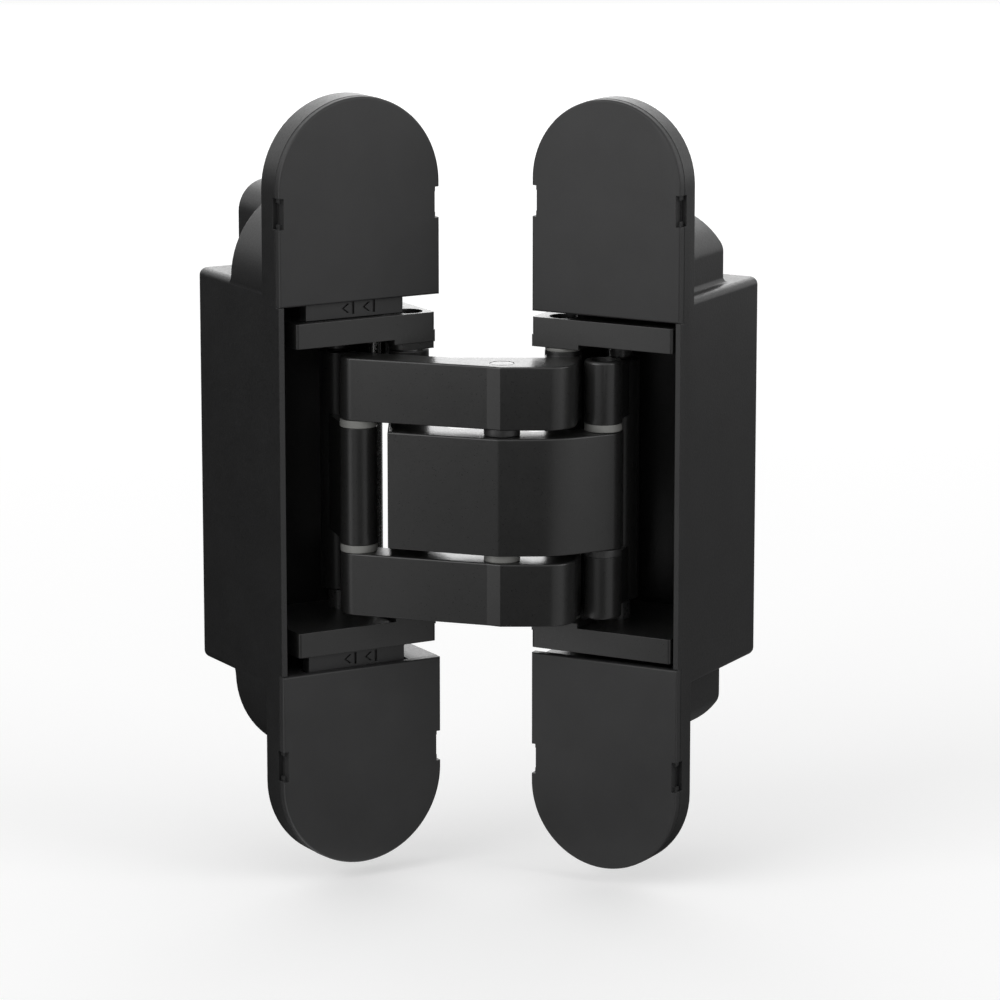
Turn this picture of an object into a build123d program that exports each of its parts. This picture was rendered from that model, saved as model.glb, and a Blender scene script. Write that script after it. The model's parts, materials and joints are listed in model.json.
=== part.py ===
"""Concealed door hinge, drawn part open, in millimetres.

The frame-side housing and the door-side housing are each let into wood. Two crossing arms join
them: the centre arm turns on the frame's front pins, the outer arm turns on the door's front
pins, the two meet at the centre pin, and a short link carries the far end of each arm.

The row frame is the frame-side housing's own: the origin is at the middle of its plate's front
face, x runs along the plate's width towards the knuckle side, y into the wood and z up.
"""
import os
from math import acos, atan2, cos, degrees, hypot, radians, sin

from build123d import *

os.makedirs("parts", exist_ok=True)

# How far a cutting tool runs past the face it opens
OVER = 1.0
TINY = 0.01

# Both plates
PLATE_HEIGHT = 110.0
COVER_THICK = 1.2
COVER_INSET = 0.05
COVER_ROUND = 0.3
HOUSING_DEPTH = 25.6
REAR_WALL = 2.6
POCKET_DEPTH = HOUSING_DEPTH - REAR_WALL
REAR_CORNER_R = 1.0
BOX_EDGE_R = 1.1
LEDGE_DEPTH = 1.5
LEDGE_HEIGHT = 1.3
NOTCH_HEIGHT = 4.35
NOTCH_IN = 0.8
NOTCH_FLANGE_DEPTH = 0.55
CLIP_HEIGHT = 0.7
CLIP_THICK = 0.4
CLIP_HOOK = 0.4
PEG_R = 1.2
PEG_LENGTH = 2.0
PEG_GAP = 0.05
PEG_X = 6.5
PEG_Z = 42.6
FIXING_R = 2.3
FIXING_HEAD_R = 4.4
FIXING_SEAT = 1.2
FIXING_Z = 47.0

# Travel of the three adjustments, each way
SIDE_TRAVEL = 0.5
HEIGHT_TRAVEL = 2.0
DEPTH_TRAVEL = 1.0

# Heights from the middle outwards: the frame pocket carries the end plates, they carry the rest
FRAME_POCKET_HALF = 26.3
END_PLATE_GAP = 0.5
END_PLATE_THICK = 3.5
LIP_THICK = 0.7
PLATE_OUT = FRAME_POCKET_HALF - HEIGHT_TRAVEL - END_PLATE_GAP
PLATE_IN = PLATE_OUT - END_PLATE_THICK
PLATE_LIP = PLATE_IN - LIP_THICK
DOOR_POCKET_GAP = 1.75
DOOR_COVER_GAP = 0.8

# Frame side
FRAME_HALF_WIDTH = 12.7
FRAME_FLANGE = 5.2
FRAME_WALL = 0.85
FRAME_SIDE_OPEN = 17.6
WALL_SET_BACK = 0.25
FRAME_END_WALL = 2.3
FRAME_BOX_HALF = FRAME_POCKET_HALF + FRAME_END_WALL
FRAME_COVER_EDGE = FRAME_POCKET_HALF
FRAME_NOTCH_Z = 37.2
FRAME_BOSS_DEPTH = 14.8
TOWER_HALF_WIDTH = 6.8
TOWER_RISE = 12.25
TOWER_CORNER_R = 4.5
TOWER_SET_BACK = 1.6
TOWER_DEPTH = HOUSING_DEPTH - TOWER_SET_BACK

# Door side
DOOR_HALF_WIDTH = 11.6
DOOR_FLANGE = 4.3
DOOR_WALL = 0.8
DOOR_SIDE_OPEN = 11.0
DOOR_POCKET_HALF = PLATE_OUT + DOOR_POCKET_GAP
DOOR_END_WALL = 2.1
DOOR_BOX_HALF = DOOR_POCKET_HALF + DOOR_END_WALL
DOOR_COVER_EDGE = PLATE_OUT + DOOR_COVER_GAP
DOOR_NOTCH_Z = 38.0
DOOR_BOSS_HALF_WIDTH = 9.45
DOOR_ARCH_DROP = 0.9
DOOR_ARCH_R = 11.2
DOOR_BOSS_CORNER_R = 2.4
DOOR_BOSS_DEPTH = 18.0
BOSS_FILLET = 0.8
BOSS_OVERLAP = 4.0

# Where the door side stands in this pose
DOOR_X = 27.85
DOOR_Y = -19.92
DOOR_TURN = -58.168

# Carriages: end plates that hold the pins
PLATE_EDGE = 0.4
PIN_SEAT = 1.0
FRAME_PLATE_X = (-10.05, 11.87)
FRAME_LIP_X = 5.4
FRAME_PLATE_CLEAR = 0.6
FRAME_PLATE_DEPTH = FRAME_SIDE_OPEN - FRAME_PLATE_CLEAR
FRAME_BOSS_THICK = 1.0
FRAME_BOSS_LOW = PLATE_LIP - FRAME_BOSS_THICK
FRAME_BOSS_SET_BACK = 0.35
FRAME_SKIRT_X = 8.75
FRAME_SKIRT_Y = (9.0, FRAME_PLATE_DEPTH - PLATE_EDGE)
FRAME_SKIRT_HEIGHT = 4.1
DOOR_PLATE_X = (-11.5, 10.4)
DOOR_LIP_X = -4.2
DOOR_PLATE_CLEAR = 1.0
DOOR_SIDE_GAP = 0.3
LIP_DEPTH = 5.4
PIVOT_PIN_R = 1.97
PIVOT_PIN_LOW = 10.0
TIE_PIN_R = 0.95
FRAME_TIE = (7.7, 10.0)
DOOR_TIE = (-7.6, 17.4)
REAR_PIN_R = 1.5
REAR_PIN_OUT = 2.0
REAR_PIN_LOW = PLATE_LIP - REAR_PIN_OUT
FRAME_REAR = (2.96, 12.59)
DOOR_REAR = (-2.24, 9.37)

# Side adjusters of the frame carriage
ADJUSTER_X = (-7.85, 7.45)
ADJUSTER_FRONT = 1.4
ADJUSTER_THICK = 1.9
ADJUSTER_SLOT_GAP = 0.1
ADJUSTER_HEIGHT = 7.3
ADJUSTER_LOW = PLATE_OUT + ADJUSTER_SLOT_GAP
ADJUSTER_TOP = ADJUSTER_LOW + ADJUSTER_HEIGHT
PIVOT_PIN_SINK = HEIGHT_TRAVEL + ADJUSTER_SLOT_GAP
MARK_DEPTH = 0.3
MARK_WIDTH = 0.35
MARK_RISE = 1.3
MARK_Z = ADJUSTER_LOW + MARK_RISE
MARK_HALF = 0.85
MARK_X = (-0.6, 2.7)
ARROW_GAP = 0.8
ARROW_LENGTH = 0.85
ARROW_HALF = 0.65
ARROW_STROKE = 0.35
SCREW_HEAD_R = 3.4
SCREW_HEAD_THICK = 1.8
SCREW_SHANK_R = 2.4
SCREW_LENGTH = 11.0
SCREW_Z = 34.2
SCREW_GAP = 0.05
FRAME_SCREW_SINK = 0.2
DOOR_SCREW_SINK = 0.3
HEX_ACROSS = 3.0
HEX_DEPTH = 1.2

# Arms, in their own plan frame: origin on the centre pin, x across, y towards the wood
CENTRE_X = 14.58
CENTRE_Y = -14.25
ARM_TURN = -29.82
FRONT_PIVOT_FRAME = (8.96, 2.4)
FRONT_PIVOT_DOOR = (-7.8, 2.4)
FRAME_LINK_EYE = (-20.18, 6.36)
DOOR_LINK_EYE = (14.17, 3.35)
OUTER_IN = 9.5
OUTER_SET_IN = 1.15
OUTER_OUT = PLATE_LIP - OUTER_SET_IN
FACE_GAP = 0.05
PIVOT_WASHER_THICK = 0.5
SLEEVE_TOP = PLATE_LIP - FACE_GAP - PIVOT_WASHER_THICK
OUTER_EYE_R = 2.6
OUTER_FRONT_SLOPE = -18.23
OUTER_BEND = (-2.1, -0.25)
OUTER_BEND_Y = -3.2
OUTER_ROUND = (6.3, 0.9)
OUTER_BACK = 4.6
OUTER_EYE_BACK_X = -7.0
CENTRE_HALF = 8.35
COLUMN_END_GAP = 0.2
HUB_ROUND = 0.4
CENTRE_EYE_R = 2.85
CENTRE_COLUMN_TOP = FRAME_BOSS_LOW - COLUMN_END_GAP
CENTRE_CORNER_Y = 1.85
CENTRE_CORNER_R = 1.5
CENTRE_BEND = (-0.54, -3.5)
CENTRE_SWELL = (8.0, -3.25)
CENTRE_SWELL_R = 12.0
CENTRE_BACK = 4.4
CENTRE_BACK_CUT = 2.2
HEEL_ANGLE = 25
COLUMN_R = 2.6
PIN_R = 1.3
CENTRE_PIN_R = 1.75
RUNNING_GAP = 0.05
PASSING_GAP = 0.35
OPEN_CLOSER = 6.33
ARM_EDGE = 0.25

# Links
FRAME_LINK_EYE_R = 2.62
DOOR_LINK_OUT = OUTER_OUT - FACE_GAP
DOOR_LINK_EYE_R = 2.67
LINK_REAR_R = 2.6
LINK_REAR_GAP = 0.4
LINK_REAR_HALF = REAR_PIN_LOW - LINK_REAR_GAP
LINK_STRAP_WIDTH = 3.6
PIN_SINK = 0.5
PIN_RECESS = 0.5
WASHER_R = 2.55


def turned(point, angle):
    """The point after a turn about the origin."""
    c, s = cos(radians(angle)), sin(radians(angle))
    return (c * point[0] - s * point[1], s * point[0] + c * point[1])


class Side:
    """One housing's own axes: its plate's front face, its width and its depth."""

    def __init__(self, x, y, turn):
        self.origin = Vector(x, y, 0)
        self.across = Vector(cos(radians(turn)), sin(radians(turn)), 0)
        self.inward = Vector(-sin(radians(turn)), cos(radians(turn)), 0)

    def level(self, z):
        """The plan plane at a height."""
        return Plane(origin=self.origin + Vector(0, 0, z), x_dir=self.across, z_dir=(0, 0, 1))

    def front(self, depth):
        """The upright plane at a depth, facing out of the wood: x across, y up."""
        return Plane(origin=self.origin + self.inward * depth, x_dir=self.across,
                     z_dir=self.inward * -1)


FRAME = Side(0, 0, 0)
DOOR = Side(DOOR_X, DOOR_Y, DOOR_TURN)
ARMS = Side(CENTRE_X, CENTRE_Y, ARM_TURN)


def change(point, old, new):
    """Plan coordinates of a point given in one side's axes, in another's."""
    place = old.origin + old.across * point[0] + old.inward * point[1] - new.origin
    return (place.dot(new.across), place.dot(new.inward))


FRAME_PIVOT = change(FRONT_PIVOT_FRAME, FRAME, ARMS)
DOOR_PIVOT = change(FRONT_PIVOT_DOOR, DOOR, ARMS)
FRAME_EYE = change(FRAME_LINK_EYE, ARMS, FRAME)
DOOR_EYE = change(DOOR_LINK_EYE, ARMS, DOOR)


def span(low, high):
    """Middle and length of a stretch."""
    return (low + high) / 2, high - low


def slab(side, xs, ys, zs):
    """A block between two x, two y and two z values of a side."""
    x, width = span(*xs)
    y, depth = span(*ys)
    with BuildPart() as block:
        with BuildSketch(side.level(zs[0])):
            with Locations((x, y)):
                Rectangle(width, depth)
        extrude(amount=zs[1] - zs[0])
    return block.part


def rod(side, point, radius, low, high):
    """An upright cylinder between two heights."""
    with BuildPart() as bar:
        with BuildSketch(side.level(low)):
            with Locations(point):
                Circle(radius)
        extrude(amount=high - low)
    return bar.part


def bolt(side, point, radius, near, far):
    """A cylinder along the depth, centred on a point of the plate."""
    with BuildPart() as bar:
        with BuildSketch(side.front(far)):
            with Locations(point):
                Circle(radius)
        extrude(amount=far - near)
    return bar.part


def ring(side, point, outer, inner, low, high):
    """An upright washer or sleeve."""
    with BuildPart() as collar:
        with BuildSketch(side.level(low)):
            with Locations(point):
                Circle(outer)
                Circle(inner, mode=Mode.SUBTRACT)
        extrude(amount=high - low)
    return collar.part


def save(part, name):
    """Label a piece and write its file."""
    part.label = name
    export_step(part, f"parts/{name}.step")


def both(part):
    """A piece and its mirror image below the middle, as separate solids."""
    return Compound([part, mirror(part, about=Plane.XY)])


def plate_outline(side, depth, half_width):
    """The round-ended plate outline."""
    with BuildSketch(side.front(depth)) as outline:
        SlotOverall(PLATE_HEIGHT, 2 * half_width, rotation=90)
    return outline.sketch


def housing_box(side, half_width, box_half):
    """The block behind the plate, with its long edges and its rear edges rounded."""
    inward = Axis(side.origin, side.inward)
    with BuildPart() as box:
        add(slab(side, (-half_width, half_width), (COVER_THICK, HOUSING_DEPTH),
                 (-box_half, box_half)))
        fillet(box.edges().filter_by(inward), BOX_EDGE_R)
        fillet(box.faces().sort_by(inward)[-1].edges(), REAR_CORNER_R)
    return box.part


def boss_roots(side, part, box_half, root_x, root_y):
    """Edges where the bosses stand on the ends of the box, within a reach across and inward."""
    roots = []
    for edge in part.edges():
        place = edge.center() - side.origin
        x, y = place.dot(side.across), place.dot(side.inward)
        on_end = abs(abs(place.Z) - box_half) < TINY
        if on_end and abs(x) < root_x + TINY and root_y[0] < y < root_y[1] + TINY:
            roots.append(edge)
    return roots


def arch(plane, half_width, base, radius, corner):
    """An arched outline with upright sides, reaching a little below its base."""
    with BuildSketch(plane) as outline:
        with Locations((0, base)):
            Circle(radius)
        z, height = span(base - BOSS_OVERLAP, base + radius)
        with Locations((0, z)):
            Rectangle(2 * half_width, height, mode=Mode.INTERSECT)
        shoulders = [v for v in outline.vertices() if v.Y > base]
        fillet(shoulders, corner)
    return outline.sketch


def fixing_cuts(side, flange):
    """Countersunk holes for the fixing screws, as solids to take away."""
    cuts = []
    for z in (-FIXING_Z, FIXING_Z):
        cuts.append(bolt(side, (0, z), FIXING_R, 0, flange + OVER))
        with BuildPart() as head:
            with BuildSketch(side.front(flange - FIXING_SEAT)):
                with Locations((0, z)):
                    Circle(FIXING_R)
            with BuildSketch(side.front(COVER_THICK)):
                with Locations((0, z)):
                    Circle(FIXING_HEAD_R)
            loft()
        cuts.append(head.part)
        for x in (-PEG_X, PEG_X):
            peg_z = PEG_Z if z > 0 else -PEG_Z
            cuts.append(bolt(side, (x, peg_z), PEG_R + PEG_GAP, COVER_THICK,
                             COVER_THICK + PEG_LENGTH + PEG_GAP))
    return cuts


def notch_cuts(side, half_width, notch_z):
    """The four pry notches, running a little into the flange."""
    cuts = []
    for low in (notch_z, -notch_z - NOTCH_HEIGHT):
        for x in (-half_width, half_width - NOTCH_IN):
            cuts.append(slab(side, (x, x + NOTCH_IN), (0, COVER_THICK + NOTCH_FLANGE_DEPTH),
                             (low, low + NOTCH_HEIGHT)))
    return cuts


def screw_cuts(side, head_front):
    """Stepped bores for the two adjusting screws."""
    cuts = []
    for z in (-SCREW_Z, SCREW_Z):
        seat = head_front + SCREW_HEAD_THICK + SCREW_GAP
        cuts.append(bolt(side, (0, z), SCREW_HEAD_R + SCREW_GAP, COVER_THICK, seat))
        cuts.append(bolt(side, (0, z), SCREW_SHANK_R + SCREW_GAP, seat,
                         head_front + SCREW_LENGTH + SCREW_GAP))
    return cuts


def cover(side, half_width, edge, notch_z):
    """An upper cover: a flat plate with a round end, pry notches, clips and two pegs."""
    with BuildPart() as plate:
        with BuildSketch(side.front(COVER_THICK)):
            SlotOverall(PLATE_HEIGHT - 2 * COVER_INSET, 2 * (half_width - COVER_INSET),
                        rotation=90)
            with Locations((0, edge - PLATE_HEIGHT / 2)):
                Rectangle(2 * half_width + OVER, PLATE_HEIGHT, mode=Mode.SUBTRACT)
        extrude(amount=COVER_THICK)
        rim = plate.faces().sort_by(Axis(side.origin, side.inward))[0]
        fillet(rim.edges(), COVER_ROUND)
        for cut in notch_cuts(side, half_width, notch_z):
            add(cut, mode=Mode.SUBTRACT)
        for x in (-half_width + NOTCH_IN - CLIP_THICK, half_width - NOTCH_IN):
            for low in (notch_z, notch_z + NOTCH_HEIGHT - CLIP_HEIGHT):
                add(slab(side, (x, x + CLIP_THICK), (COVER_THICK / 2, COVER_THICK),
                         (low, low + CLIP_HEIGHT)))
                add(slab(side, (x, x + CLIP_THICK), (COVER_THICK, COVER_THICK + CLIP_HOOK),
                         (low + PEG_GAP, low + CLIP_HEIGHT - PEG_GAP)))
        for x in (-PEG_X, PEG_X):
            add(bolt(side, (x, PEG_Z), PEG_R, COVER_THICK, COVER_THICK + PEG_LENGTH))
    return plate.part


def adjusting_screw(side, head_front):
    """A cheese-head screw with a hexagon socket, along the depth."""
    with BuildPart() as screw:
        add(bolt(side, (0, SCREW_Z), SCREW_HEAD_R, head_front, head_front + SCREW_HEAD_THICK))
        add(bolt(side, (0, SCREW_Z), SCREW_SHANK_R, head_front + SCREW_HEAD_THICK,
                 head_front + SCREW_LENGTH))
        with BuildSketch(side.front(head_front + HEX_DEPTH)):
            with Locations((0, SCREW_Z)):
                RegularPolygon(HEX_ACROSS / 2, 6, major_radius=False)
        extrude(amount=HEX_DEPTH, mode=Mode.SUBTRACT)
    return screw.part


# Frame housing: flange, box, arched bosses and the tower behind the upper boss
ADJUSTER_BACK = ADJUSTER_FRONT + ADJUSTER_THICK
FRAME_SCREW_FRONT = ADJUSTER_BACK + FRAME_SCREW_SINK
with BuildPart() as frame_housing:
    extrude(plate_outline(FRAME, FRAME_FLANGE, FRAME_HALF_WIDTH), amount=FRAME_FLANGE - COVER_THICK)
    add(housing_box(FRAME, FRAME_HALF_WIDTH, FRAME_BOX_HALF))
    for end in (-1, 1):
        add(bolt(FRAME, (0, end * FRAME_BOX_HALF), FRAME_HALF_WIDTH, FRAME_FLANGE - OVER,
                 FRAME_BOSS_DEPTH))
    with BuildSketch(FRAME.front(TOWER_DEPTH)) as tower:
        z, height = span(FRAME_BOX_HALF - BOSS_OVERLAP, FRAME_BOX_HALF + TOWER_RISE)
        with Locations((0, z)):
            Rectangle(2 * TOWER_HALF_WIDTH, height)
        fillet([v for v in tower.vertices() if v.Y > FRAME_BOX_HALF], TOWER_CORNER_R)
    extrude(amount=TOWER_DEPTH - FRAME_BOSS_DEPTH + OVER)
    fillet(boss_roots(FRAME, frame_housing, FRAME_BOX_HALF, FRAME_HALF_WIDTH - BOX_EDGE_R,
                      (FRAME_BOSS_DEPTH - TINY, FRAME_BOSS_DEPTH)), BOSS_FILLET)
    add(slab(FRAME, (-FRAME_HALF_WIDTH, -FRAME_HALF_WIDTH + FRAME_WALL),
             (WALL_SET_BACK, COVER_THICK + OVER),
             (-FRAME_COVER_EDGE + FACE_GAP, FRAME_COVER_EDGE - FACE_GAP)))
    inner = FRAME_HALF_WIDTH - FRAME_WALL
    for xs, depth in (((-inner, inner), POCKET_DEPTH), ((0, 2 * FRAME_HALF_WIDTH), FRAME_SIDE_OPEN)):
        add(slab(FRAME, xs, (-OVER, depth), (-FRAME_POCKET_HALF, FRAME_POCKET_HALF)),
            mode=Mode.SUBTRACT)
    for low in (-FRAME_POCKET_HALF, FRAME_POCKET_HALF - LEDGE_HEIGHT):
        add(slab(FRAME, (-inner, inner), (POCKET_DEPTH - LEDGE_DEPTH, POCKET_DEPTH),
                 (low, low + LEDGE_HEIGHT)))
    for end in (-1, 1):
        low, high = sorted((end * (FRAME_POCKET_HALF - OVER), end * (ADJUSTER_TOP + ADJUSTER_SLOT_GAP)))
        add(slab(FRAME, (ADJUSTER_X[0] - SIDE_TRAVEL - ADJUSTER_SLOT_GAP,
                         ADJUSTER_X[1] + SIDE_TRAVEL + ADJUSTER_SLOT_GAP),
                 (COVER_THICK, ADJUSTER_BACK + ADJUSTER_SLOT_GAP), (low, high)),
            mode=Mode.SUBTRACT)
    for cut in (fixing_cuts(FRAME, FRAME_FLANGE) + screw_cuts(FRAME, FRAME_SCREW_FRONT)
                + notch_cuts(FRAME, FRAME_HALF_WIDTH, FRAME_NOTCH_Z)):
        add(cut, mode=Mode.SUBTRACT)
save(frame_housing.part, "frame_housing")

# Door housing: flange, box and a rounded boss at each end
DOOR_SCREW_FRONT = COVER_THICK + DOOR_SCREW_SINK
with BuildPart() as door_housing:
    extrude(plate_outline(DOOR, DOOR_FLANGE, DOOR_HALF_WIDTH), amount=DOOR_FLANGE - COVER_THICK)
    add(housing_box(DOOR, DOOR_HALF_WIDTH, DOOR_BOX_HALF))
    boss = arch(DOOR.front(DOOR_BOSS_DEPTH), DOOR_BOSS_HALF_WIDTH, DOOR_BOX_HALF - DOOR_ARCH_DROP,
                DOOR_ARCH_R, DOOR_BOSS_CORNER_R)
    extrude(boss, amount=DOOR_BOSS_DEPTH - DOOR_FLANGE + OVER)
    extrude(mirror(boss, about=Plane.XY), amount=DOOR_BOSS_DEPTH - DOOR_FLANGE + OVER,
            dir=DOOR.inward * -1)
    fillet(boss_roots(DOOR, door_housing, DOOR_BOX_HALF, DOOR_BOSS_HALF_WIDTH,
                      (DOOR_FLANGE + TINY, DOOR_BOSS_DEPTH)), BOSS_FILLET)
    add(slab(DOOR, (DOOR_HALF_WIDTH - DOOR_WALL, DOOR_HALF_WIDTH),
             (WALL_SET_BACK, COVER_THICK + OVER),
             (-DOOR_COVER_EDGE + FACE_GAP, DOOR_COVER_EDGE - FACE_GAP)))
    inner = DOOR_HALF_WIDTH - DOOR_WALL
    for xs, depth in (((-inner, inner), POCKET_DEPTH), ((-2 * DOOR_HALF_WIDTH, 0), DOOR_SIDE_OPEN)):
        add(slab(DOOR, xs, (-OVER, depth), (-DOOR_POCKET_HALF, DOOR_POCKET_HALF)),
            mode=Mode.SUBTRACT)
    for low in (-DOOR_POCKET_HALF, DOOR_POCKET_HALF - LEDGE_HEIGHT):
        add(slab(DOOR, (-inner, inner), (POCKET_DEPTH - LEDGE_DEPTH, POCKET_DEPTH),
                 (low, low + LEDGE_HEIGHT)))
    for cut in (fixing_cuts(DOOR, DOOR_FLANGE) + screw_cuts(DOOR, DOOR_SCREW_FRONT)
                + notch_cuts(DOOR, DOOR_HALF_WIDTH, DOOR_NOTCH_Z)):
        add(cut, mode=Mode.SUBTRACT)
save(door_housing.part, "door_housing")

# Covers and adjusting screws
for side, name, half_width, edge, notch_z, screw_front in (
    (FRAME, "frame", FRAME_HALF_WIDTH, FRAME_COVER_EDGE, FRAME_NOTCH_Z, FRAME_SCREW_FRONT),
    (DOOR, "door", DOOR_HALF_WIDTH, DOOR_COVER_EDGE, DOOR_NOTCH_Z, DOOR_SCREW_FRONT),
):
    upper = cover(side, half_width, edge, notch_z)
    save(upper, f"{name}_cover_upper")
    save(mirror(upper, about=Plane.XY), f"{name}_cover_lower")
    upper = adjusting_screw(side, screw_front)
    save(upper, f"{name}_adjusting_screw_upper")
    save(mirror(upper, about=Plane.XY), f"{name}_adjusting_screw_lower")

# Side adjusters: plates behind the covers, marked with arrows and lines
with BuildPart() as adjuster:
    add(slab(FRAME, ADJUSTER_X, (ADJUSTER_FRONT, ADJUSTER_BACK), (ADJUSTER_LOW, ADJUSTER_TOP)))
    for x in MARK_X:
        add(slab(FRAME, (x, x + MARK_WIDTH), (ADJUSTER_FRONT, ADJUSTER_FRONT + MARK_DEPTH),
                 (MARK_Z - MARK_HALF, MARK_Z + MARK_HALF)), mode=Mode.SUBTRACT)
        with BuildSketch(FRAME.front(ADJUSTER_FRONT + MARK_DEPTH)):
            with BuildLine():
                end = x - ARROW_GAP
                tip = end - ARROW_LENGTH
                Polyline((end, MARK_Z + ARROW_HALF), (tip, MARK_Z), (end, MARK_Z - ARROW_HALF),
                         (end + ARROW_STROKE, MARK_Z - ARROW_HALF), (tip + ARROW_STROKE, MARK_Z),
                         (end + ARROW_STROKE, MARK_Z + ARROW_HALF), close=True)
            make_face()
        extrude(amount=MARK_DEPTH, mode=Mode.SUBTRACT)
save(adjuster.part, "frame_adjuster_upper")
save(mirror(adjuster.part, about=Plane.XY), "frame_adjuster_lower")


def end_plate(side, xs, depth, lip_xs, pivot, tie, rear):
    """An upper end plate: thicker lip round the pivot, and the bores for its pins."""
    with BuildPart() as plate:
        add(slab(side, xs, (0, depth), (PLATE_IN, PLATE_OUT)))
        upright = plate.edges().filter_by(Axis.Z)
        fillet(upright, PLATE_EDGE)
        add(slab(side, lip_xs, (0, LIP_DEPTH), (PLATE_LIP, PLATE_IN + OVER)))
        add(rod(side, pivot, PIVOT_PIN_R, PLATE_LIP, PLATE_OUT), mode=Mode.SUBTRACT)
        add(rod(side, tie, TIE_PIN_R, PLATE_LIP, PLATE_OUT - PIN_SEAT), mode=Mode.SUBTRACT)
        add(rod(side, rear, REAR_PIN_R, PLATE_LIP, PLATE_OUT - PIN_SEAT), mode=Mode.SUBTRACT)
    return plate.part


with BuildPart() as frame_end_plate:
    add(end_plate(FRAME, FRAME_PLATE_X, FRAME_PLATE_DEPTH, (FRAME_LIP_X, FRAME_PLATE_X[1]),
                  FRONT_PIVOT_FRAME, FRAME_TIE, FRAME_REAR))
    add(rod(FRAME, FRONT_PIVOT_FRAME, FRAME_PLATE_X[1] - FRONT_PIVOT_FRAME[0], FRAME_BOSS_LOW,
            PLATE_LIP))
    add(slab(FRAME, (FRONT_PIVOT_FRAME[0], FRAME_PLATE_X[1]), (FRAME_BOSS_SET_BACK, LIP_DEPTH),
             (FRAME_BOSS_LOW, PLATE_LIP)))
    add(slab(FRAME, FRAME_PLATE_X, (-OVER, FRAME_BOSS_SET_BACK), (FRAME_BOSS_LOW, PLATE_LIP)),
        mode=Mode.SUBTRACT)
    add(slab(FRAME, (FRAME_SKIRT_X, FRAME_PLATE_X[1]), FRAME_SKIRT_Y,
             (PLATE_LIP - FRAME_SKIRT_HEIGHT, PLATE_IN + OVER)))
    add(rod(FRAME, FRONT_PIVOT_FRAME, PIVOT_PIN_R, FRAME_BOSS_LOW, PLATE_OUT),
        mode=Mode.SUBTRACT)
    add(slab(FRAME, (ADJUSTER_X[0] - ADJUSTER_SLOT_GAP, ADJUSTER_X[1] + ADJUSTER_SLOT_GAP),
             (ADJUSTER_FRONT - ADJUSTER_SLOT_GAP, ADJUSTER_BACK + ADJUSTER_SLOT_GAP),
             (ADJUSTER_LOW - HEIGHT_TRAVEL - ADJUSTER_SLOT_GAP, PLATE_OUT)),
        mode=Mode.SUBTRACT)
save(frame_end_plate.part, "frame_end_plate_upper")
save(mirror(frame_end_plate.part, about=Plane.XY), "frame_end_plate_lower")

DOOR_PLATE_DEPTH = POCKET_DEPTH - LEDGE_DEPTH - DEPTH_TRAVEL - DOOR_PLATE_CLEAR
with BuildPart() as door_end_plate:
    add(end_plate(DOOR, DOOR_PLATE_X, DOOR_PLATE_DEPTH, (DOOR_PLATE_X[0], DOOR_LIP_X),
                  FRONT_PIVOT_DOOR, DOOR_TIE, DOOR_REAR))
    add(slab(DOOR, (-DOOR_HALF_WIDTH - OVER, -DOOR_HALF_WIDTH + DOOR_WALL + DOOR_SIDE_GAP),
             (DOOR_SIDE_OPEN - DEPTH_TRAVEL - DOOR_SIDE_GAP, DOOR_PLATE_DEPTH + OVER),
             (PLATE_IN, PLATE_OUT)),
        mode=Mode.SUBTRACT)
save(door_end_plate.part, "door_end_plate_upper")
save(mirror(door_end_plate.part, about=Plane.XY), "door_end_plate_lower")

# Front pivot pins, rear pin stubs and tie pins, held in the end plates
for side, name, pivot, tie, rear in (
    (FRAME, "frame", FRONT_PIVOT_FRAME, FRAME_TIE, FRAME_REAR),
    (DOOR, "door", FRONT_PIVOT_DOOR, DOOR_TIE, DOOR_REAR),
):
    save(both(rod(side, pivot, PIVOT_PIN_R, PIVOT_PIN_LOW, PLATE_OUT - PIVOT_PIN_SINK)),
         f"{name}_pivot_pins")
    save(both(rod(side, rear, REAR_PIN_R, REAR_PIN_LOW, PLATE_OUT - PIN_SEAT)),
         f"{name}_rear_pins")
    save(rod(side, tie, TIE_PIN_R, PIN_SEAT - PLATE_OUT, PLATE_OUT - PIN_SEAT),
         f"{name}_tie_pin")


def tangent_angle(centre, radius, other, other_radius, sign):
    """Direction of the normal of the line that touches two circles on one side."""
    dx, dy = other[0] - centre[0], other[1] - centre[1]
    away = degrees(acos((radius - other_radius) / hypot(dx, dy)))
    return degrees(atan2(dy, dx)) + sign * away


def on_circle(centre, radius, angle):
    """A point of a circle."""
    return (centre[0] + radius * cos(radians(angle)), centre[1] + radius * sin(radians(angle)))


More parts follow.
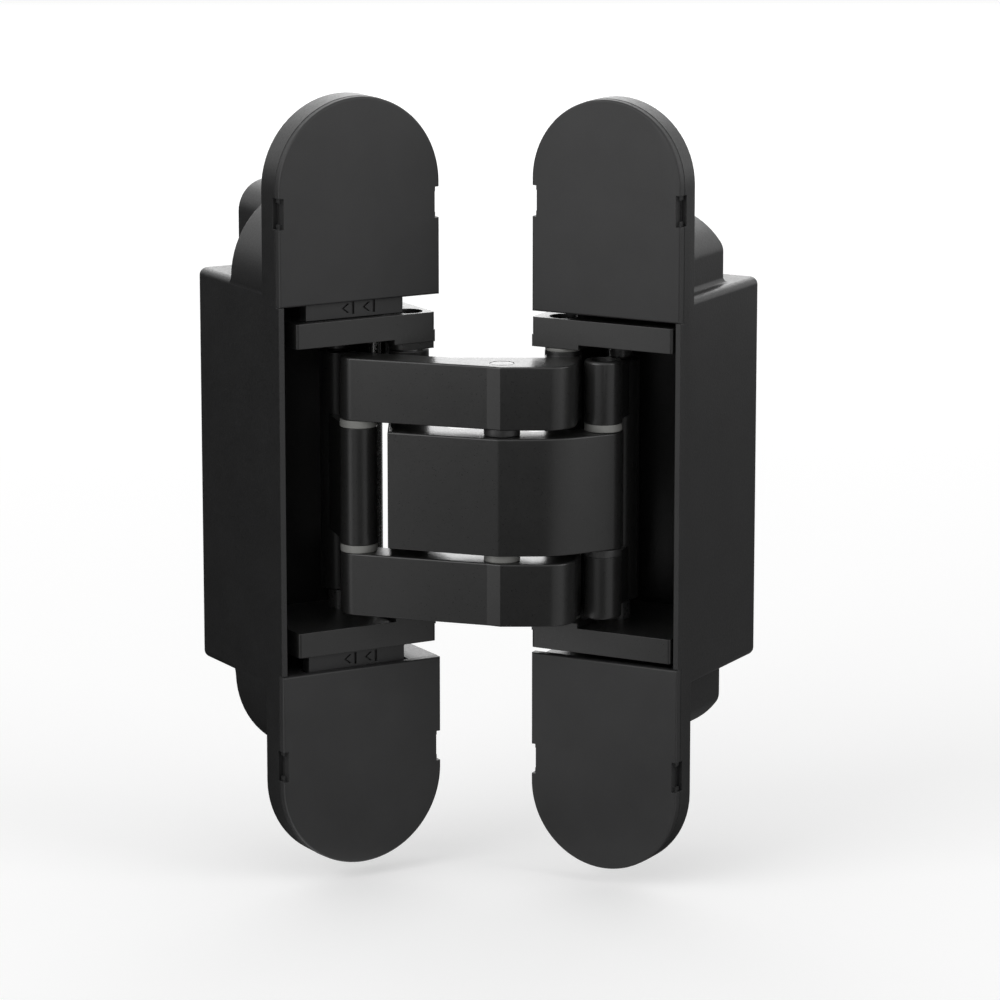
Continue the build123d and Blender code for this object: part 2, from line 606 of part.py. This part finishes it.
def outer_outline(z):
    """The outer lever's plan: a straight limb to the link eye and a rounded knuckle."""
    normal = OUTER_FRONT_SLOPE - 90
    start = on_circle(FRAME_LINK_EYE, OUTER_EYE_R, normal)
    reach = (OUTER_BEND[0] - start[0]) / cos(radians(OUTER_FRONT_SLOPE))
    bend = (OUTER_BEND[0], start[1] + reach * sin(radians(OUTER_FRONT_SLOPE)))
    radius = OUTER_ROUND[1] - OUTER_BEND_Y
    angle = tangent_angle(OUTER_ROUND, radius, DOOR_PIVOT, COLUMN_R, -1)
    with BuildSketch(ARMS.level(z)) as outline:
        with BuildLine():
            Line(start, bend)
            Line(bend, (OUTER_BEND[1], OUTER_BEND_Y))
            Line((OUTER_BEND[1], OUTER_BEND_Y), (OUTER_ROUND[0], OUTER_BEND_Y))
            CenterArc(OUTER_ROUND, radius, -90, 90 + angle)
            Line(on_circle(OUTER_ROUND, radius, angle), on_circle(DOOR_PIVOT, COLUMN_R, angle))
            CenterArc(DOOR_PIVOT, COLUMN_R, angle, 180 - angle)
            Line((DOOR_PIVOT[0] - COLUMN_R, DOOR_PIVOT[1]),
                 (DOOR_PIVOT[0] - COLUMN_R, OUTER_BACK))
            Line((DOOR_PIVOT[0] - COLUMN_R, OUTER_BACK), (OUTER_EYE_BACK_X, OUTER_BACK))
            Line((OUTER_EYE_BACK_X, OUTER_BACK),
                 on_circle(FRAME_LINK_EYE, OUTER_EYE_R, normal + 180))
            CenterArc(FRAME_LINK_EYE, OUTER_EYE_R, normal + 180, 180)
        make_face()
    return outline.sketch


def centre_outline(z):
    """The centre arm's plan: a square heel under the frame pivot and a swelling toe."""
    left = FRAME_PIVOT[0] - CENTRE_EYE_R
    angle = tangent_angle(CENTRE_SWELL, 0, DOOR_LINK_EYE, CENTRE_EYE_R, -1)
    toe = on_circle(DOOR_LINK_EYE, CENTRE_EYE_R, angle)
    heel = on_circle(FRAME_PIVOT, CENTRE_EYE_R, HEEL_ANGLE)
    with BuildSketch(ARMS.level(z)) as outline:
        with BuildLine():
            Line((left, FRAME_PIVOT[1]), (left, CENTRE_CORNER_Y))
            Line((left, CENTRE_CORNER_Y), CENTRE_BEND)
            Line(CENTRE_BEND, CENTRE_SWELL)
            Line(CENTRE_SWELL, toe)
            CenterArc(DOOR_LINK_EYE, CENTRE_EYE_R, angle, 180)
            Polyline(on_circle(DOOR_LINK_EYE, CENTRE_EYE_R, angle + 180),
                     (CENTRE_BACK, CENTRE_BACK_CUT), (CENTRE_BACK_CUT, CENTRE_BACK),
                     (OUTER_EYE_BACK_X, CENTRE_BACK))
            Line((OUTER_EYE_BACK_X, CENTRE_BACK), heel)
            CenterArc(FRAME_PIVOT, CENTRE_EYE_R, HEEL_ANGLE, 180 - HEEL_ANGLE)
        make_face()
        corners = outline.vertices()
        fillet(corners.sort_by_distance(ARMS.level(z).from_local_coords(
            Vector(left, CENTRE_CORNER_Y, 0)))[0], CENTRE_CORNER_R)
        corners = outline.vertices()
        fillet(corners.sort_by_distance(ARMS.level(z).from_local_coords(
            Vector(CENTRE_SWELL[0], CENTRE_SWELL[1], 0)))[0], CENTRE_SWELL_R)
    return outline.sketch


# Outer arm: two levers on one column that turns on the door's front pins
with BuildPart() as outer_arm:
    extrude(outer_outline(OUTER_IN), amount=OUTER_OUT - OUTER_IN)
    levels = outer_arm.faces().filter_by(Axis.Z)
    fillet(levels.edges().filter_by(lambda edge: edge.length > 2 * ARM_EDGE), ARM_EDGE)
    near = turned(FRAME_PIVOT, OPEN_CLOSER)
    add(rod(ARMS, near, CENTRE_EYE_R + PASSING_GAP, OUTER_IN, OUTER_OUT), mode=Mode.SUBTRACT)
    mirror(about=Plane.XY)
    add(rod(ARMS, DOOR_PIVOT, COLUMN_R, -SLEEVE_TOP, SLEEVE_TOP))
    add(rod(ARMS, DOOR_PIVOT, PIVOT_PIN_R + RUNNING_GAP, -SLEEVE_TOP, SLEEVE_TOP),
        mode=Mode.SUBTRACT)
    add(rod(ARMS, (0, 0), CENTRE_PIN_R, -OUTER_OUT, OUTER_OUT), mode=Mode.SUBTRACT)
    add(rod(ARMS, FRAME_LINK_EYE, PIN_R, -OUTER_OUT + PIN_SINK, OUTER_OUT - PIN_SINK),
        mode=Mode.SUBTRACT)
save(outer_arm.part, "outer_arm")

# Centre arm: one broad lever on a column that turns on the frame's front pins
with BuildPart() as centre_arm:
    extrude(centre_outline(-CENTRE_HALF), amount=2 * CENTRE_HALF)
    levels = centre_arm.faces().filter_by(Axis.Z)
    fillet(levels.edges().filter_by(lambda edge: edge.length > 2 * ARM_EDGE), ARM_EDGE)
    near = turned(DOOR_PIVOT, -OPEN_CLOSER)
    add(rod(ARMS, near, COLUMN_R + PASSING_GAP, -CENTRE_HALF, CENTRE_HALF), mode=Mode.SUBTRACT)
    add(rod(ARMS, FRAME_PIVOT, CENTRE_EYE_R, -CENTRE_COLUMN_TOP, CENTRE_COLUMN_TOP))
    add(rod(ARMS, FRAME_PIVOT, PIVOT_PIN_R + RUNNING_GAP, -CENTRE_COLUMN_TOP, CENTRE_COLUMN_TOP),
        mode=Mode.SUBTRACT)
    add(rod(ARMS, (0, 0), CENTRE_PIN_R + RUNNING_GAP, -CENTRE_HALF, CENTRE_HALF),
        mode=Mode.SUBTRACT)
    add(rod(ARMS, DOOR_LINK_EYE, PIN_R + RUNNING_GAP, -CENTRE_HALF, CENTRE_HALF),
        mode=Mode.SUBTRACT)
save(centre_arm.part, "centre_arm")

# Centre pin with its spacer above the centre arm and its washer below
save(rod(ARMS, (0, 0), CENTRE_PIN_R, -OUTER_OUT, OUTER_OUT), "centre_pin")
save(ring(ARMS, (0, 0), WASHER_R, CENTRE_PIN_R, CENTRE_HALF + FACE_GAP, OUTER_IN), "centre_spacer")
save(ring(ARMS, (0, 0), WASHER_R, CENTRE_PIN_R, -OUTER_IN, -CENTRE_HALF - FACE_GAP),
     "centre_washer")

# Washers on the ends of the outer arm's column
save(both(ring(ARMS, DOOR_PIVOT, WASHER_R, PIVOT_PIN_R + RUNNING_GAP, SLEEVE_TOP,
               PLATE_LIP - FACE_GAP)), "door_pivot_washers")

# Link pins and their washers
save(rod(ARMS, FRAME_LINK_EYE, PIN_R, -OUTER_OUT + PIN_SINK, OUTER_OUT - PIN_SINK),
     "frame_link_pin")
save(both(ring(ARMS, FRAME_LINK_EYE, FRAME_LINK_EYE_R, PIN_R, CENTRE_HALF + FACE_GAP,
               OUTER_IN)), "frame_link_washers")
save(rod(ARMS, DOOR_LINK_EYE, PIN_R, -DOOR_LINK_OUT + PIN_SINK, DOOR_LINK_OUT - PIN_SINK),
     "door_link_pin")
save(ring(ARMS, DOOR_LINK_EYE, DOOR_LINK_EYE_R, PIN_R, CENTRE_HALF + FACE_GAP, OUTER_IN),
     "door_link_washer")
save(ring(ARMS, DOOR_LINK_EYE, DOOR_LINK_EYE_R, PIN_R, -OUTER_IN, -CENTRE_HALF - FACE_GAP),
     "door_link_spacer")


def strap(side, eye, rear, low, high):
    """The flat of a link between its two eyes."""
    with BuildPart() as flat:
        with BuildSketch(side.level(low)):
            for point in (eye, rear):
                with Locations(point):
                    Circle(LINK_STRAP_WIDTH / 2)
            make_hull()
        extrude(amount=high - low)
    return flat.part


# Frame link: one eye between the outer levers, a tall eye at the rear
with BuildPart() as frame_link:
    add(strap(FRAME, FRAME_EYE, FRAME_REAR, -CENTRE_HALF, CENTRE_HALF))
    add(rod(FRAME, FRAME_EYE, FRAME_LINK_EYE_R, -CENTRE_HALF, CENTRE_HALF))
    add(rod(FRAME, FRAME_REAR, LINK_REAR_R, -LINK_REAR_HALF, LINK_REAR_HALF))
    add(rod(FRAME, FRAME_EYE, PIN_R + RUNNING_GAP, -CENTRE_HALF, CENTRE_HALF),
        mode=Mode.SUBTRACT)
    add(rod(FRAME, FRAME_REAR, REAR_PIN_R, -LINK_REAR_HALF, LINK_REAR_HALF), mode=Mode.SUBTRACT)
save(frame_link.part, "frame_link")

# Door link: a fork whose two eyes hold the pin above and below the centre arm
with BuildPart() as door_link:
    add(strap(DOOR, DOOR_EYE, DOOR_REAR, OUTER_IN, LINK_REAR_HALF))
    add(rod(DOOR, DOOR_EYE, DOOR_LINK_EYE_R, OUTER_IN, DOOR_LINK_OUT))
    fillet(door_link.faces().sort_by(Axis.Z)[-1].edges(), HUB_ROUND)
    mirror(about=Plane.XY)
    add(rod(DOOR, DOOR_REAR, LINK_REAR_R, -LINK_REAR_HALF, LINK_REAR_HALF))
    add(rod(DOOR, DOOR_EYE, PIN_R, -DOOR_LINK_OUT + PIN_SINK, DOOR_LINK_OUT - PIN_SINK),
        mode=Mode.SUBTRACT)
    add(rod(DOOR, DOOR_EYE, PIN_R + PIN_RECESS, DOOR_LINK_OUT - PIN_SINK, DOOR_LINK_OUT),
        mode=Mode.SUBTRACT)
    add(rod(DOOR, DOOR_REAR, REAR_PIN_R, -LINK_REAR_HALF, LINK_REAR_HALF), mode=Mode.SUBTRACT)
save(door_link.part, "door_link")
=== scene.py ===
"""Looks of the concealed door hinge: coated housings, covers, levers, pins and washers."""
import json
import math

import bmesh
import bpy
import numpy as np
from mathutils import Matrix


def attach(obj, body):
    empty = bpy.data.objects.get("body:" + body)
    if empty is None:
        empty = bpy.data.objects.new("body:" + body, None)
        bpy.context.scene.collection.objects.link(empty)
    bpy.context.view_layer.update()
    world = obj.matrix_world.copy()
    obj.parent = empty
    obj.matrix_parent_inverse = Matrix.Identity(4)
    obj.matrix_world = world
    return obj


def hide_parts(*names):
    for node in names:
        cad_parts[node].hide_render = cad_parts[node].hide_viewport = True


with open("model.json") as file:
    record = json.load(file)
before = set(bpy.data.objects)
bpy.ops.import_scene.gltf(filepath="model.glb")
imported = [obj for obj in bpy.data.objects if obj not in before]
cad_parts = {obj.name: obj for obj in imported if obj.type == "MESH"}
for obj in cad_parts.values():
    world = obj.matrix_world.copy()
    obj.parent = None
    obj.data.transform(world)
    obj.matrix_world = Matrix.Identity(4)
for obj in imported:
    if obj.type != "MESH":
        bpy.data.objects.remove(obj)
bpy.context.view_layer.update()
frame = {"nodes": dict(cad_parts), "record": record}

MM = 0.001
WHITE = (1, 1, 1, 1)
SCENE = bpy.context.scene
SCENE.view_settings.view_transform = "Standard"

# Camera: a long lens a little above the hinge, turned to the knuckle side
CAMERA_PLACE = (-308.8 * MM, -577.9 * MM, 137.6 * MM)
CAMERA_DOWN = 12.036
CAMERA_HEADING = -29.82
CAMERA_LENS = 171.31
CAMERA_SENSOR = 36.0
CAMERA_NEAR = 10 * MM
camera_data = bpy.data.cameras.new("camera")
camera_data.lens = CAMERA_LENS
camera_data.sensor_width = CAMERA_SENSOR
camera_data.clip_start = CAMERA_NEAR
camera = bpy.data.objects.new("camera", camera_data)
SCENE.collection.objects.link(camera)
camera.location = CAMERA_PLACE
camera.rotation_euler = (math.radians(90 - CAMERA_DOWN), 0, math.radians(CAMERA_HEADING))
SCENE.camera = camera


def link(tree, start, end):
    """Joins two sockets of a node tree."""
    tree.links.new(start, end)


def shown_rays(tree):
    """1 for camera, glossy and transmission rays, 0 for the others."""
    path = tree.nodes.new("ShaderNodeLightPath")
    total = path.outputs["Is Camera Ray"]
    for name in ("Is Glossy Ray", "Is Transmission Ray"):
        either = tree.nodes.new("ShaderNodeMath")
        either.operation = "MAXIMUM"
        link(tree, total, either.inputs[0])
        link(tree, path.outputs[name], either.inputs[1])
        total = either.outputs[0]
    return total


# World: white where it shows, dimmer as a light
WORLD_LIGHT = 0.55
WORLD_SHOWN = 1.0
world = bpy.data.worlds.new("studio")
SCENE.world = world
world.use_nodes = True
tree = world.node_tree
tree.nodes.clear()
lighting = tree.nodes.new("ShaderNodeBackground")
lighting.inputs["Color"].default_value = WHITE
lighting.inputs["Strength"].default_value = WORLD_LIGHT
shown = tree.nodes.new("ShaderNodeBackground")
shown.inputs["Color"].default_value = WHITE
shown.inputs["Strength"].default_value = WORLD_SHOWN
mix = tree.nodes.new("ShaderNodeMixShader")
link(tree, shown_rays(tree), mix.inputs["Fac"])
link(tree, lighting.outputs[0], mix.inputs[1])
link(tree, shown.outputs[0], mix.inputs[2])
output = tree.nodes.new("ShaderNodeOutputWorld")
link(tree, mix.outputs[0], output.inputs["Surface"])


def new_material(name):
    """An empty node material with its output."""
    material = bpy.data.materials.new(name)
    material.use_nodes = True
    tree = material.node_tree
    tree.nodes.clear()
    output = tree.nodes.new("ShaderNodeOutputMaterial")
    return material, tree, output


def quads_between(index):
    """The quads between neighbouring rows and columns of a table of point numbers."""
    quads = np.stack([index[:-1, :-1], index[1:, :-1], index[1:, 1:], index[:-1, 1:]], axis=-1)
    return quads.reshape(-1, 4).tolist()


def grid_mesh(name, points):
    """A mesh of quads through a grid of points with u along its first axis and v along its second."""
    rows, columns = points.shape[:2]
    index = np.arange(rows * columns).reshape(rows, columns)
    mesh = bpy.data.meshes.new(name)
    mesh.from_pydata(points.reshape(-1, 3).tolist(), [], quads_between(index))
    mesh.update()
    return mesh


def put(name, mesh, material):
    """An object at the origin with a mesh and a material."""
    piece = bpy.data.objects.new(name, mesh)
    mesh.materials.clear()
    mesh.materials.append(material)
    SCENE.collection.objects.link(piece)
    return piece


# Floor: pale and plain, just low enough for the door side at the bottom of its height adjustment
FLOOR_LEVEL = -57.3 * MM
FLOOR_HALF = 3.0
FLOOR_COLOUR = 0.8
FLOOR_GLOW = 0.3
material, tree, output = new_material("floor_paper")
paper = tree.nodes.new("ShaderNodeBsdfDiffuse")
paper.inputs["Color"].default_value = (FLOOR_COLOUR, FLOOR_COLOUR, FLOOR_COLOUR, 1)
glow = tree.nodes.new("ShaderNodeEmission")
glow.inputs["Strength"].default_value = FLOOR_GLOW
dark = tree.nodes.new("ShaderNodeEmission")
dark.inputs["Strength"].default_value = 0.0
choose = tree.nodes.new("ShaderNodeMixShader")
link(tree, shown_rays(tree), choose.inputs["Fac"])
link(tree, dark.outputs[0], choose.inputs[1])
link(tree, glow.outputs[0], choose.inputs[2])
both = tree.nodes.new("ShaderNodeAddShader")
link(tree, paper.outputs[0], both.inputs[0])
link(tree, choose.outputs[0], both.inputs[1])
link(tree, both.outputs[0], output.inputs["Surface"])
side = np.linspace(-FLOOR_HALF, FLOOR_HALF, 3)
across, along = np.meshgrid(side, side, indexing="ij")
floor = put("floor", grid_mesh("floor", np.stack([across, along, 0 * across + FLOOR_LEVEL], axis=-1)),
            material)


def lamp(name, place, target, width, height, power):
    """A soft rectangular lamp that faces a point."""
    data = bpy.data.lights.new(name, "AREA")
    data.shape = "RECTANGLE"
    data.size = width
    data.size_y = height
    data.energy = power
    light = bpy.data.objects.new(name, data)
    SCENE.collection.objects.link(light)
    light.location = place
    x, y, z = (t - p for t, p in zip(target, place))
    flat = math.hypot(x, y)
    light.rotation_euler = (math.atan2(flat, -z), 0, math.atan2(y, x) - math.pi / 2)
    light.visible_camera = False
    return light


MIDDLE = (15 * MM, 0, 0)
lamp("back_top", (0.55, 0.95, 0.36), MIDDLE, 1.2, 0.5, 4.5)
lamp("left_key", (-1.0, -0.15, 0.45), MIDDLE, 0.8, 0.8, 4.5)
lamp("front_right", (0.7, -1.0, 0.35), MIDDLE, 0.7, 0.7, 4.0)

# Dark sheets round the hinge, seen only in its reflections
CARD_REACH = 0.32
CARD_LIFT = 0.6 * MM
CARD_BEND = 0.03
CARD_BEND_STEPS = 7
CARD_TURN_STEPS = 13


def sweep_card(name, start, end, colour, top):
    """A sheet that lies on the floor and turns up at its far edge, between two compass angles.

    Point (u, v) is at compass angle u; v runs out along the floor to the card's reach, round a
    quarter circle and up to its top. Only reflections show it.
    """
    turn = np.linspace(0, math.pi / 2, CARD_BEND_STEPS)
    out = np.concatenate([[0.0, CARD_REACH / 2], CARD_REACH - CARD_BEND + CARD_BEND * np.sin(turn),
                          [CARD_REACH]])
    rise = np.concatenate([[0.0, 0.0], CARD_BEND - CARD_BEND * np.cos(turn), [top - FLOOR_LEVEL]])
    angle, step = np.meshgrid(np.radians(np.linspace(start, end, CARD_TURN_STEPS)),
                              np.arange(len(out)), indexing="ij")
    points = np.stack([MIDDLE[0] + out[step] * np.cos(angle), out[step] * np.sin(angle),
                       FLOOR_LEVEL + CARD_LIFT + rise[step]], axis=-1)
    material, tree, output = new_material(name)
    cloth = tree.nodes.new("ShaderNodeEmission")
    cloth.inputs["Color"].default_value = (colour, colour, colour, 1)
    link(tree, cloth.outputs[0], output.inputs["Surface"])
    sheet = put(name, grid_mesh(name, points), material)
    sheet.visible_camera = False
    sheet.visible_diffuse = False
    sheet.visible_shadow = False
    sheet.visible_transmission = False
    return sheet


# Each card's compass angles, how bright it is and how high it stands
for name, start, end, colour, top in (
    ("card_right", -30, 35, 0.13, 0.02),
    ("card_back", 35, 90, 0.03, 0.015),
    ("card_left", 90, 165, 0.02, 0.07),
    ("card_door", 165, 196, 1.05, 0.07),
    ("card_lever", 196, 212, 0.20, 0.03),
    ("card_corner", 212, 228, 0.36, 0.03),
    ("card_front", 228, 264, 0.04, 0.03),
    ("card_frame", 264, 308, 0.50, 0.07),
    ("card_edge", 308, 330, 0.03, 0.03),
):
    sweep_card(name, start, end, colour, top)

# Finishes: broad patches of tint, fine specks of gloss and edges softened in the shading
PATCH_SCALE = 140.0
PATCH_DETAIL = 5.0
PATCH_ROUGHNESS = 0.6
PATCH_SPREAD = 0.12
SPECK_DETAIL = 3.0
SPECK_ROUGHNESS = 0.55
NOISE_LOW = 0.3
NOISE_HIGH = 0.7
GLOSS_SPREAD = 0.05
EDGE_SAMPLES = 6


def coat(name, colour, rough, level, grain, depth, edge=0.12, metal=0.0):
    """A coated or turned surface: fine grain, faint patches and softened edges.

    Colour varies a little with a broad noise, and roughness and bump with a fine one. The edges
    are rounded in the shading by a bevel of the given radius.
    """
    material, tree, output = new_material(name)
    shader = tree.nodes.new("ShaderNodeBsdfPrincipled")
    shader.inputs["Metallic"].default_value = metal
    shader.inputs["Specular IOR Level"].default_value = level
    place = tree.nodes.new("ShaderNodeTexCoord")

    patches = tree.nodes.new("ShaderNodeTexNoise")
    patches.inputs["Scale"].default_value = PATCH_SCALE
    patches.inputs["Detail"].default_value = PATCH_DETAIL
    patches.inputs["Roughness"].default_value = PATCH_ROUGHNESS
    link(tree, place.outputs["Object"], patches.inputs["Vector"])
    tint = tree.nodes.new("ShaderNodeValToRGB")
    tint.color_ramp.elements[0].position = NOISE_LOW
    tint.color_ramp.elements[0].color = (*(c * (1 - PATCH_SPREAD) for c in colour), 1)
    tint.color_ramp.elements[1].position = NOISE_HIGH
    tint.color_ramp.elements[1].color = (*(c * (1 + PATCH_SPREAD) for c in colour), 1)
    link(tree, patches.outputs["Fac"], tint.inputs["Fac"])
    link(tree, tint.outputs["Color"], shader.inputs["Base Color"])

    speck = tree.nodes.new("ShaderNodeTexNoise")
    speck.inputs["Scale"].default_value = grain
    speck.inputs["Detail"].default_value = SPECK_DETAIL
    speck.inputs["Roughness"].default_value = SPECK_ROUGHNESS
    link(tree, place.outputs["Object"], speck.inputs["Vector"])
    gloss = tree.nodes.new("ShaderNodeMapRange")
    gloss.inputs["From Min"].default_value = NOISE_LOW
    gloss.inputs["From Max"].default_value = NOISE_HIGH
    gloss.inputs["To Min"].default_value = rough - GLOSS_SPREAD
    gloss.inputs["To Max"].default_value = rough + GLOSS_SPREAD
    link(tree, speck.outputs["Fac"], gloss.inputs["Value"])
    link(tree, gloss.outputs["Result"], shader.inputs["Roughness"])

    soft = tree.nodes.new("ShaderNodeBevel")
    soft.samples = EDGE_SAMPLES
    soft.inputs["Radius"].default_value = edge * MM
    bump = tree.nodes.new("ShaderNodeBump")
    bump.inputs["Strength"].default_value = 1.0
    bump.inputs["Distance"].default_value = depth * MM
    link(tree, speck.outputs["Fac"], bump.inputs["Height"])
    link(tree, soft.outputs["Normal"], bump.inputs["Normal"])
    link(tree, bump.outputs["Normal"], shader.inputs["Normal"])
    link(tree, shader.outputs[0], output.inputs["Surface"])
    return material


FINISHES = {
    "housing_black": coat("housing_black", (0.010, 0.010, 0.0102), 0.42, 0.5, 3200, 0.018),
    "cover_black": coat("cover_black", (0.019, 0.019, 0.0193), 0.48, 0.42, 4200, 0.004, edge=0.1),
    "moving_black": coat("moving_black", (0.013, 0.013, 0.0128), 0.32, 0.55, 4200, 0.004),
    "pale_washer": coat("pale_washer", (0.20, 0.20, 0.19), 0.5, 0.4, 2500, 0.003, edge=0.08),
    "dark_spacer": coat("dark_spacer", (0.03, 0.03, 0.03), 0.35, 0.5, 3000, 0.003, edge=0.08),
    "dark_pin": coat("dark_pin", (0.10, 0.10, 0.10), 0.3, 0.5, 2500, 0.002, metal=0.6, edge=0.06),
    "bright_pin": coat("bright_pin", (0.62, 0.62, 0.61), 0.25, 0.5, 2500, 0.002, metal=1.0,
                       edge=0.06),
}

# Edges sharper than this stay crisp, and so do the arms' flat corners and the levers' faint fold
CRISP_ANGLE = 28
ARMS = ("outer_arm", "centre_arm")
ARM_CRISP_ANGLE = 15
LEVER_FOLD = (11.60 * MM, -15.23 * MM)
FOLD_REACH = 0.15 * MM
JOIN_REACH = 0.002 * MM
FLAT_ANGLE = 0.4


def on_fold(edge):
    """Whether an edge stands on the levers' upright fold."""
    return all(math.hypot(v.co.x - LEVER_FOLD[0], v.co.y - LEVER_FOLD[1]) < FOLD_REACH
               for v in edge.verts)


def join_triangles(work):
    """Merges a solid's loose triangles and dissolves the edges inside its flat faces."""
    bmesh.ops.remove_doubles(work, verts=work.verts, dist=JOIN_REACH)
    bmesh.ops.dissolve_limit(work, angle_limit=math.radians(FLAT_ANGLE), verts=work.verts,
                             edges=work.edges)


def shade(mesh, solid=False, arm=False):
    """Shades rounds smooth and keeps corners crisp, for a turned mesh, a solid's or an arm's."""
    work = bmesh.new()
    work.from_mesh(mesh)
    if solid:
        join_triangles(work)
    limit = math.radians(ARM_CRISP_ANGLE if arm else CRISP_ANGLE)
    for face in work.faces:
        face.smooth = True
    for edge in work.edges:
        edge.smooth = edge.calc_face_angle(math.pi) < limit and not (arm and on_fold(edge))
    work.to_mesh(mesh)
    work.free()


def dressed(node, material_slot):
    """The node's own solid with its loose triangles joined and its rounds shaded smooth."""
    mesh = frame["nodes"][node].data.copy()
    mesh.name = f"{node}_skin"
    shade(mesh, solid=True, arm=node in ARMS)
    piece = put(f"{node}_skin", mesh, FINISHES[material_slot])
    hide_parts(node)
    return piece


# Turned pieces, in millimetres: the axes that the CAD gives them, then their radii and heights
CENTRE_AXIS = (14.58, -14.25)
FRAME_LINK_AXIS = (0.235, 1.303)
DOOR_LINK_AXIS = (28.540, -18.390)
DOOR_PIVOT_AXIS = (25.775, -12.027)
PIN_END = 18.45
PIN_RADIUS = 1.75
PIN_EDGE = 0.22
CENTRE_WASHER_RADIUS = 2.55
FRAME_LINK_WASHER_RADIUS = 2.62
DOOR_LINK_WASHER_RADIUS = 2.67
LINK_WASHER_BORE = 1.3
PIVOT_WASHER_BORE = 2.02
WASHER_LOW = 8.4
WASHER_HIGH = 9.5
WASHER_EDGE = 0.12
PIVOT_WASHER_LOW = 19.05
PIVOT_WASHER_HIGH = 19.55
AROUND = 72
ROUND_STEPS = 4


def rounded_run(low, high, radius, edge):
    """Radius and height pairs up the wall of a turned piece, with a quarter round at each end."""
    turn = np.linspace(0, math.pi / 2, ROUND_STEPS + 1)
    foot = np.stack([radius - edge + edge * np.sin(turn), low + edge - edge * np.cos(turn)], axis=-1)
    head = np.stack([radius - edge + edge * np.cos(turn), high - edge + edge * np.sin(turn)], axis=-1)
    return np.concatenate([foot, head])


def turned(name, place, profiles, closed):
    """Round pieces on one upright axis: each profile point goes round the axis in a circle.

    Point (u, v) is at angle u round the axis, at the v-th radius and height of the profile. A closed
    profile makes a ring, an open one a pin whose ends are flat.
    """
    angle = np.arange(AROUND) * 2 * math.pi / AROUND
    points, faces = [], []
    for profile in profiles:
        ring = np.stack([place[0] + np.outer(np.cos(angle), profile[:, 0]),
                         place[1] + np.outer(np.sin(angle), profile[:, 0]),
                         np.tile(profile[:, 1], (AROUND, 1))], axis=-1) * MM
        start = sum(len(block) for block in points)
        index = start + np.arange(AROUND * len(profile)).reshape(AROUND, len(profile))
        wide = np.vstack([index, index[:1]])
        if closed:
            wide = np.hstack([wide, wide[:, :1]])
        else:
            faces.append(index[::-1, 0].tolist())
            faces.append(index[:, -1].tolist())
        faces.extend(quads_between(wide))
        points.append(ring.reshape(-1, 3))
    mesh = bpy.data.meshes.new(name)
    mesh.from_pydata(np.concatenate(points).tolist(), [], faces)
    mesh.update()
    shade(mesh)
    return mesh


def washer(outer, bore, low, high):
    """The closed outline of a washer with rounded outer edges."""
    return np.concatenate([rounded_run(low, high, outer, WASHER_EDGE), [[bore, high], [bore, low]]])


# Each turned node: its axis, its outlines and whether they are closed rings
TURNED = {
    "centre_pin": (CENTRE_AXIS, [rounded_run(-PIN_END, PIN_END, PIN_RADIUS, PIN_EDGE)], False),
    "centre_spacer": (CENTRE_AXIS, [
        washer(CENTRE_WASHER_RADIUS, PIN_RADIUS, WASHER_LOW, WASHER_HIGH)], True),
    "centre_washer": (CENTRE_AXIS, [
        washer(CENTRE_WASHER_RADIUS, PIN_RADIUS, -WASHER_HIGH, -WASHER_LOW)], True),
    "frame_link_washers": (FRAME_LINK_AXIS, [
        washer(FRAME_LINK_WASHER_RADIUS, LINK_WASHER_BORE, WASHER_LOW, WASHER_HIGH),
        washer(FRAME_LINK_WASHER_RADIUS, LINK_WASHER_BORE, -WASHER_HIGH, -WASHER_LOW)], True),
    "door_link_washer": (DOOR_LINK_AXIS, [
        washer(DOOR_LINK_WASHER_RADIUS, LINK_WASHER_BORE, WASHER_LOW, WASHER_HIGH)], True),
    "door_link_spacer": (DOOR_LINK_AXIS, [
        washer(DOOR_LINK_WASHER_RADIUS, LINK_WASHER_BORE, -WASHER_HIGH, -WASHER_LOW)], True),
    "door_pivot_washers": (DOOR_PIVOT_AXIS, [
        washer(CENTRE_WASHER_RADIUS, PIVOT_WASHER_BORE, PIVOT_WASHER_LOW, PIVOT_WASHER_HIGH),
        washer(CENTRE_WASHER_RADIUS, PIVOT_WASHER_BORE, -PIVOT_WASHER_HIGH, -PIVOT_WASHER_LOW)],
        True),
}


def turned_piece(node, material_slot):
    """A pin or washer turned afresh, with rounded edges, in place of its plain solid."""
    place, profiles, closed = TURNED[node]
    piece = put(f"{node}_turned", turned(node, place, profiles, closed), FINISHES[material_slot])
    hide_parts(node)
    return piece


SLOTS = {entry["node"]: entry["material_slot"] for entry in frame["record"]["subparts"]}
for body, nodes in frame["record"]["behaviour"]["bodies"].items():
    for node in nodes:
        make = turned_piece if node in TURNED else dressed
        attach(make(node, SLOTS[node]), body)
